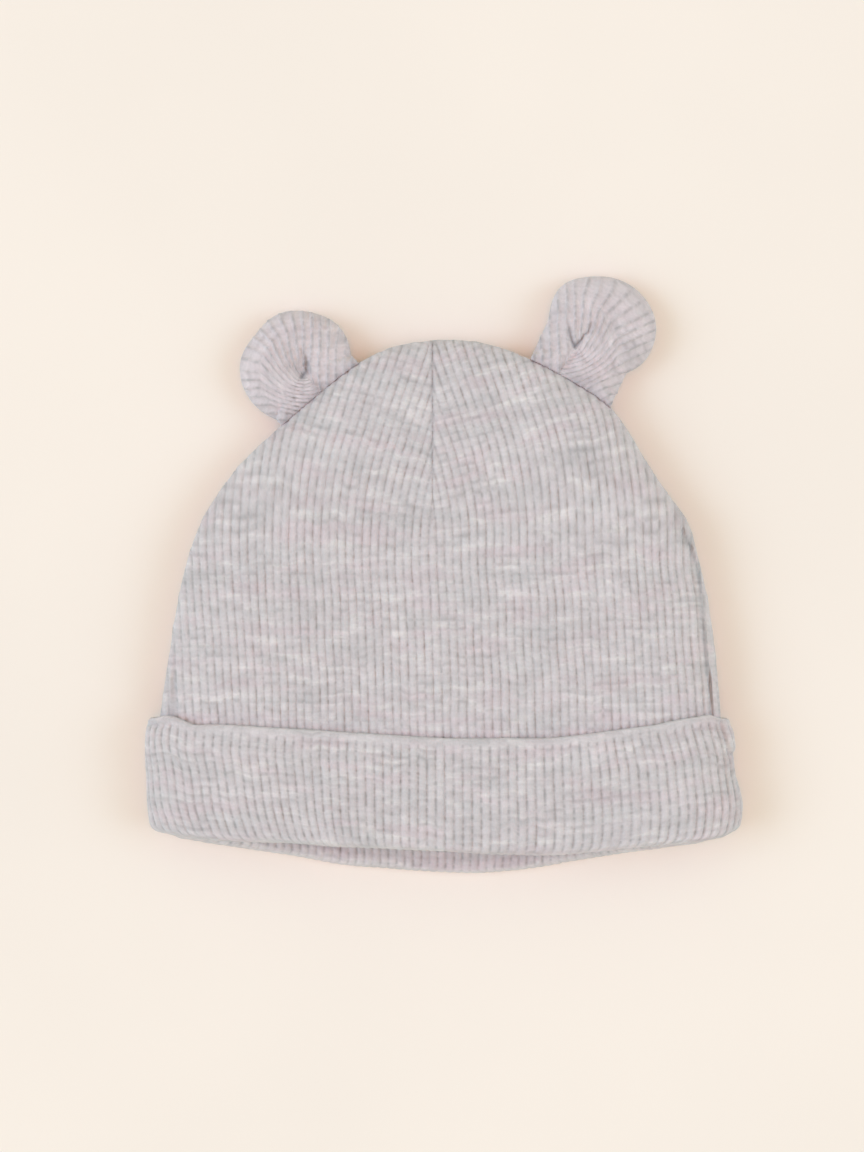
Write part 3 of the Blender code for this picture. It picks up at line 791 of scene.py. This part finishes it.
def cuffPatches():
    ribs = round(2 * hat["width"] / knit["cuffRib"])
    columns = (np.arange(ribs)[:, None] + np.array(knit["ribSteps"])).reshape(-1)
    rows = cuffRows()
    around = 2.06 * hat["width"]  # one turn round the lying hat
    points = []
    for share, shift, offset, length, _ in rows:
        turns = columns / ribs + cuff["waver"] * soft(columns / 7, length / 22, 21)
        turns = turns + cuffLean(columns / ribs, length) / around
        points.append(cuffRing(share, shift, offset, turns))
    points = np.array(points)
    # the band's left end spreads towards its top edge, and its back layer peeks out on the right
    shares, lengths, ribbed = (np.array(rows)[:, [column]] for column in (0, 3, 4))
    x, y = points[..., 0], points[..., 1]
    points[..., 0] = (x - cuff["flare"] * smooth((shares - 0.4) / 0.6) * smooth((-x - 60) / 22)
                      + cuff["peek"] * smooth((43.0 - y) / 2.5) * smooth((y - 34.0) / 2)
                      * smooth((x - 77) / 8))
    normals = ringNormals(points)
    # the ribs run out at the rolled top edge, and lie flatter round the hem
    atHem = 1 - smooth((np.abs(lengths - hemLength) - 1.5) / 3)
    weight = ribbed * smooth((lengths - 0.2) / 2.0) * (1 - (1 - cuff["hemRelief"]) * atHem)
    ribGrid = np.broadcast_to(columns, points.shape[:2])
    courseGrid = settled(ribGrid, np.broadcast_to(lengths / knit["course"], points.shape[:2]), 7)
    rise = relief(ribGrid, courseGrid, 7) * weight
    rise = rise + ribbed * cuff["swell"] * soft(points[..., 0] / 15, points[..., 1] / 12, 23)
    for crease in cuff["creases"]:
        away, _ = toLine(points[..., 0], points[..., 1], crease["line"])
        above = ribbed * smooth((points[..., 2] - hat["seamHeight"]) / 2)
        rise = rise - crease["depth"] * np.exp(-(away / crease["width"]) ** 2) * above
    points = points + normals * rise[..., None]
    points[..., 2] = np.maximum(points[..., 2], 0.0)
    count = len(rows)
    u = columns / ribs
    v = np.arange(count) / (count - 1) * 0.98
    bake = np.stack(np.meshgrid(u, v), -1)
    cloth = np.stack([ribGrid, courseGrid], -1)
    faces = gridFaces(count, len(columns), around=True, over=True)
    # the layer that lies on the floor past the front hem is painted lighter, as if it caught more
    # light
    fold = cuff["backLayerShade"] * smooth((14 - points[..., 1]) / 3)
    fold = fold * smooth((10 - points[..., 2]) / 2)
    return [patch(points, cloth, bake, faces, fold)]


cuffPiece = makePiece("cuffBand", cuffPatches(), cuffKnit)

# Ears: a flattened ball drawn from its pinch to its rim, its ribs fanning out from the base.
# Places along and out of the seam are shares of the radius; swells are (degrees, share, degrees).
earShape = dict(
    radius=16.0, pile=11.0, edge=4.5, seamEdge=9.4, pleatDepth=1.5, pleatWidth=2.5,
    spokes=360, rings=60, rimRings=10, backRings=12, fanRadius=12.5, pinchWidth=0.22,
    overSeam=0.25, seamShade=0.30, seamBand=2.0, unevenness=0.3,
)
ears = [
    dict(name="earLeft", node="ear_left", seam=12.0, standOff=0.65, size=1.01,
         pitSide=0.12, pitOut=-0.10, pitDepth=1.9, seed=31,
         fanAt=(-40.6, 142.9), sweep=math.radians(90),
         neck=(14.0, 14.5), spread=(0.0, 0.0),
         swells=[(42, 0.055, 24), (141, -0.085, 25)],
         creases=[dict(line=[(-40.7, 149.4), (-39.6, 146.1), (-39.8, 143.6), (-40.9, 142.0)],
                       depth=1.0, width=0.75, shade=1.05),
                  dict(line=[(-43.6, 144.6), (-41.6, 143.9), (-40.5, 142.8)], depth=1.2,
                       width=1.5, shade=0.22)]),
    dict(name="earRight", node="ear_right", seam=19.05, standOff=1.07, size=0.96,
         pitSide=-0.17, pitOut=-0.52, pitDepth=0.9, seed=37,
         fanAt=(37.3, 150.3), sweep=math.radians(-65),
         neck=(15.1, 12.0), spread=(-0.10, 0.08),
         swells=[(132, 0.10, 24), (5, 0.03, 30), (-62, -0.06, 16)],
         creases=[dict(line=[(35.3, 157.0), (35.9, 153.6), (37.1, 150.6)], depth=0.9, width=0.55,
                       shade=1.15),
                  dict(line=[(41.5, 157.3), (40.8, 154.9), (37.1, 150.6)], depth=0.9, width=0.55,
                       shade=0.95),
                  dict(line=[(37.1, 150.6), (35.0, 148.4), (33.3, 144.4)], depth=0.5,
                       width=0.6, shade=0.3)]),
]


def earFrame(ear):
    foot = edgeAt(ear["seam"])
    seamWay = edgeAt(ear["seam"] + 0.5) - edgeAt(ear["seam"] - 0.5)
    seamWay /= np.linalg.norm(seamWay)
    outWay = np.array([-seamWay[1], seamWay[0]])
    middle = foot + outWay * ear["standOff"] * earShape["radius"]
    pit = middle + (seamWay * ear["pitSide"] + outWay * ear["pitOut"]) * earShape["radius"]
    return middle, pit, seamWay, outWay


def inEar(ear, middle, seamWay, outWay, spots):
    across, out = (spots - middle) @ seamWay, (spots - middle) @ outWay
    turn = np.arctan2(spots[:, 1] - middle[1], spots[:, 0] - middle[0])
    radius = np.full(len(spots), earShape["radius"] * ear["size"])
    for way, share, width in ear["swells"]:
        away = (turn - math.radians(way) + math.pi) % (2 * math.pi) - math.pi
        radius += earShape["radius"] * share * np.exp(-(away / math.radians(width)) ** 2)
    # below the round part the sides run straight to the seam, some of them spreading on the way
    left = across < 0
    neck = np.where(left, ear["neck"][0], ear["neck"][1])
    neck = neck - np.where(left, ear["spread"][0], ear["spread"][1]) * out
    shape = (np.hypot(across, out) < radius) | ((out < 0) & (np.abs(across) < neck))
    return shape & (edgeDistance(spots[:, 0], spots[:, 1]) < earShape["overSeam"])


def earReach(ear, middle, pit, seamWay, outWay, ways):
    low, high = np.zeros(len(ways)), np.full(len(ways), 3 * earShape["radius"])
    for _ in range(30):
        half = (low + high) / 2
        inside = inEar(ear, middle, seamWay, outWay, pit + ways * half[:, None])
        low, high = np.where(inside, half, low), np.where(inside, high, half)
    return low


def earPatches(ear):
    middle, pit, seamWay, outWay = earFrame(ear)
    spokes, rings = earShape["spokes"], earShape["rings"]
    angle = 2 * math.pi * np.arange(spokes) / spokes
    ways = np.stack([np.cos(angle), np.sin(angle)], 1)
    reach = earReach(ear, middle, pit, seamWay, outWay, ways)
    edge, pile = earShape["edge"], earShape["pile"]
    rimRings = earShape["rimRings"]  # the last tenth of the way to the rim is drawn finer
    rounded = np.sin(np.pi / 2 * np.arange(1, rimRings + 1) / rimRings)
    spread = np.concatenate([np.linspace(0, 0.9, rings - rimRings), 0.9 + 0.1 * rounded])
    puff = np.sqrt(np.maximum(1 - spread ** 3, 0))
    place = pit + spread[:, None, None] * reach[None, :, None] * ways[None]
    x, y = place[..., 0], place[..., 1]
    across = (place - pit) @ seamWay
    out = (place - pit) @ outWay
    inward = np.maximum(-ways @ outWay, 0) ** 8
    pinch = ear["pitDepth"] * np.exp(-(spread / earShape["pinchWidth"]) ** 2)[:, None]
    pleat = earShape["pleatDepth"] * inward * np.exp(-(across / earShape["pleatWidth"]) ** 2)
    pleat = pleat * smooth(spread / 0.3)[:, None]
    ends = pit + ways * reach[:, None]
    atSeam = smooth((edgeDistance(ends[:, 0], ends[:, 1]) + 3.0) / 2.4)
    rim = edge + (earShape["seamEdge"] - edge) * atSeam
    z = rim + (pile - rim) * puff[:, None] - pinch - pleat * puff[:, None]
    # painted shade: a band along the seam to the crown, and the creases of the pinch, darker in
    # the colour
    atEdge = np.exp(-((edgeDistance(x, y) / earShape["seamBand"]) ** 2))
    fold = earShape["seamShade"] * atEdge * (1 + 0.6 * soft(x / 3, y / 3, ear["seed"] + 3))
    deep, dim = 0.0, 0.0
    for crease in ear["creases"]:
        away, share = toLine(x, y, crease["line"])
        hollow = np.exp(-(away / crease["width"]) ** 2) * (0.35 + 0.65 * share)
        deep = np.maximum(deep, crease["depth"] * hollow)
        dim = np.maximum(dim, crease["shade"] * hollow)
    z, fold = z - deep * puff[:, None], fold + dim
    z = z + earShape["unevenness"] * soft(x / 7, y / 7, ear["seed"])
    # fabric lines: straight up on one side of the pinch, a fan round it, straight again after
    side, sweep = np.sign(ear["sweep"]), abs(ear["sweep"])
    awayX, awayY = x - ear["fanAt"][0], y - ear["fanAt"][1]
    radius = np.hypot(awayX, awayY)
    turned = np.arctan2(-side * awayX, awayY)  # 0 straight up, growing into the fan
    turned = (turned - sweep / 2 + math.pi) % (2 * math.pi) + sweep / 2 - math.pi
    inFan = np.clip(turned, 0, sweep)
    fanRadius = earShape["fanRadius"]
    wide = inFan * fanRadius * np.minimum(radius / fanRadius, 1) ** 0.6
    ribs = (wide + radius * np.sin(turned - inFan)) / knit["rib"]
    ribs = ribs + 0.12 * soft(x / 5, y / 5, ear["seed"] + 1) + 40 * ear["seed"]
    courses = radius * np.cos(turned - inFan) / knit["course"]
    courses = settled(ribs, courses, ear["seed"])
    base = np.stack([x, y, z], -1)
    normals = ringNormals(base)
    normals[0], normals[-1] = (0, 0, 1), normals[-2]
    rise = relief(ribs, courses, ear["seed"]) * smooth((1 - spread) / 0.04)[:, None]
    rise = rise * (0.3 + 0.7 * smooth(radius / 6))
    rise[0] = rise[0].mean()
    top = base + normals * rise[..., None]
    top[0] = top[0].mean(0)
    bakeScale = 2.3 * earShape["radius"] * 2  # each side of the ear fills half of the bake map
    flat = np.stack([across, out], -1) / bakeScale
    faces = gridFaces(len(spread), spokes, around=True)
    upper = patch(top, np.stack([ribs, courses], -1), flat + (0.25, 0.5), faces, fold)
    backSpread = np.linspace(1, 0, earShape["backRings"])
    backPuff = np.sqrt(np.maximum(1 - backSpread ** 3, 0))
    place = pit + backSpread[:, None, None] * reach[None, :, None] * ways[None]
    height = np.maximum(edge - 1.3 * edge * backPuff, 0)
    height = np.broadcast_to(height[:, None], place.shape[:2]).copy()
    height[0] = top[-1, :, 2]
    bottom = np.concatenate([place, height[..., None]], -1)
    bottom[0] = top[-1]
    across = (place - pit) @ seamWay
    out = (place - pit) @ outWay
    cloth = np.stack([across / knit["rib"] + 40 * ear["seed"], out / knit["course"]], -1)
    flat = np.stack([across, out], -1) / bakeScale
    faces = gridFaces(len(backSpread), spokes, around=True)
    lower = patch(bottom, cloth, flat + (0.75, 0.5), faces)
    return [upper, lower]


earPieces = {ear["node"]: makePiece(ear["name"], earPatches(ear), earKnit) for ear in ears}

# How the pieces ride and the CAD solids they stand in for, which are hidden
for piece, node, slot in (
    (crownFront, "crown_front", "rib_knit"),
    (crownBack, "crown_back", "rib_knit"),
    (cuffPiece, "cuff", "cuff_knit"),
    (earPieces["ear_left"], "ear_left", "ear_knit"),
    (earPieces["ear_right"], "ear_right", "ear_knit"),
):
    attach(piece, "root")
    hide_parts(node)

# Floor, light and camera
studio = dict(
    floor=(0.955, 0.880, 0.818, 1), floorSize=20.0,
    dome=(0.885, 1.0, 0.768, 1), domeStrength=0.570,
    sides=(0.583, 0.756, 1.0, 1), sideStrength=4.60, sideHeight=math.radians(37), sideFocus=20.0,
    sideTilt=0.22,
    lamp=(1.0, 0.215, 0.09, 1), lampStrength=2.93, lampEdge=0.94, lampFull=0.99,
)
# the camera looks straight down: millimetres to a pixel of the photo, and the point below it
view = dict(lens=100.0, sensor=36.0, mmPerPixel=0.2862, imageHeight=1152, level=10.0,
            x=-3.72, y=-0.5)


def makeFloor():
    half = studio["floorSize"] / 2
    mesh = bpy.data.meshes.new("floor")
    mesh.from_pydata([(-half, -half, 0), (half, -half, 0), (half, half, 0), (-half, half, 0)],
                     [], [(0, 1, 2, 3)])
    material = newMaterial("floorCream")
    s = Shader(material.node_tree)
    place = s.wire(s.add("ShaderNodeTexCoord"), 3)
    cloud = s.noise(place, 5.0, 3.0)
    darker = tuple(0.97 * value for value in studio["floor"][:3]) + (1,)
    color = s.mix(s.ramp(cloud, 0.35, 0.65), darker, studio["floor"])
    surface = s.add("ShaderNodeBsdfPrincipled", None, {
        "Base Color": color, "Roughness": 0.85, "Specular IOR Level": 0.1})
    s.add("ShaderNodeOutputMaterial", None, {"Surface": s.wire(surface)})
    mesh.materials.append(material)
    floor = bpy.data.objects.new("floor", mesh)
    bpy.context.scene.collection.objects.link(floor)


def makeLight():
    # a soft dome, a cool light from both sides and a warm one overhead, so shadows fall warm
    world = bpy.data.worlds.new("studio")
    bpy.context.scene.world = world
    world.use_nodes = True
    s = Shader(world.node_tree)
    place = s.wire(s.add("ShaderNodeTexCoord"), 0)
    split = s.add("ShaderNodeSeparateXYZ", None, {0: place})
    across, up = s.wire(split, 0), s.wire(split, 2)
    toSide = (across.math("ABSOLUTE") * math.cos(studio["sideHeight"])
              + up * math.sin(studio["sideHeight"])).math("MAXIMUM", 0.0)
    total = s.wire(s.add("ShaderNodeBackground", None, {
        "Color": studio["dome"], "Strength": studio["domeStrength"]}))
    for color, strength in (
        (studio["sides"], toSide.math("POWER", studio["sideFocus"])
         * (1 - across * studio["sideTilt"]) * studio["sideStrength"]),
        (studio["lamp"], s.ramp(up, studio["lampEdge"], studio["lampFull"])
         * studio["lampStrength"]),
    ):
        more = s.wire(s.add("ShaderNodeBackground", None, {"Color": color, "Strength": strength}))
        total = s.wire(s.add("ShaderNodeAddShader", None, {0: total, 1: more}))
    s.add("ShaderNodeOutputWorld", None, {"Surface": total})
    settings = bpy.context.scene.view_settings
    settings.view_transform = "Standard"
    settings.look = "None"


def makeCamera():
    data = bpy.data.cameras.new("camera")
    data.lens, data.sensor_width = view["lens"], view["sensor"]
    data.clip_start, data.clip_end = 0.01, 10
    camera = bpy.data.objects.new("camera", data)
    height = view["mmPerPixel"] * view["imageHeight"]
    distance = height / 2 / (view["sensor"] / 2 / view["lens"])
    camera.location = (view["x"] * mm, view["y"] * mm, (distance + view["level"]) * mm)
    bpy.context.scene.collection.objects.link(camera)
    bpy.context.scene.camera = camera


makeFloor()
makeLight()
makeCamera()
print("floor, light and camera ready")
